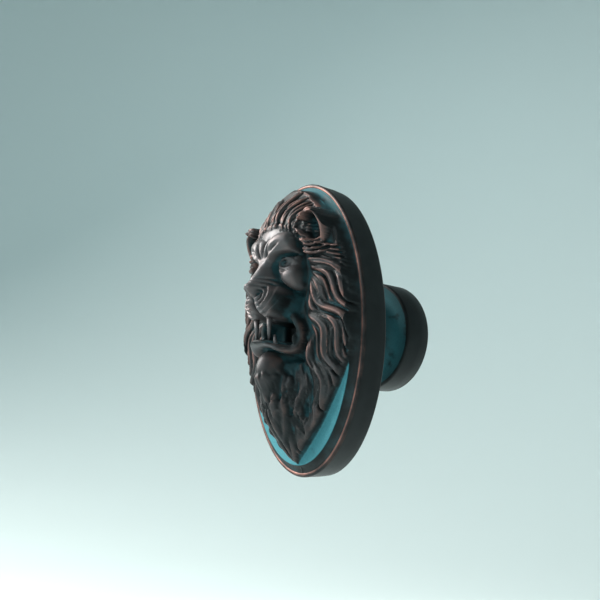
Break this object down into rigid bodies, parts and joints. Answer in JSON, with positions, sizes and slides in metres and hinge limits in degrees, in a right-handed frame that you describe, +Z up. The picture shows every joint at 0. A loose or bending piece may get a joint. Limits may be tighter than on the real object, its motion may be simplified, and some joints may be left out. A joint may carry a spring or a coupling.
{
  "type": "lion head knob",
  "caption": "Oval pull knob: a lion's head in high relief on an oval beaded plate, held off the door or drawer front by a round turned foot.",
  "frame": {"origin": "centre of the foot's back face, where the fixing screw enters", "axes": "+Y out of the foot's back towards the door or drawer front, +Z up along the long axis of the oval; the lion looks along -Y"},
  "size_m": [0.03, 0.033, 0.05],
  "materials": {
    "medallion_bronze": "satin dark oil-rubbed bronze with teal verdigris in the hollows and rubbed copper crests",
    "foot_bronze": "satin dark oil-rubbed bronze with teal verdigris on its shoulder"
  },
  "bodies": {
    "root": {"medallion": "medallion_bronze", "foot": "foot_bronze"}
  },
  "joints": []
}
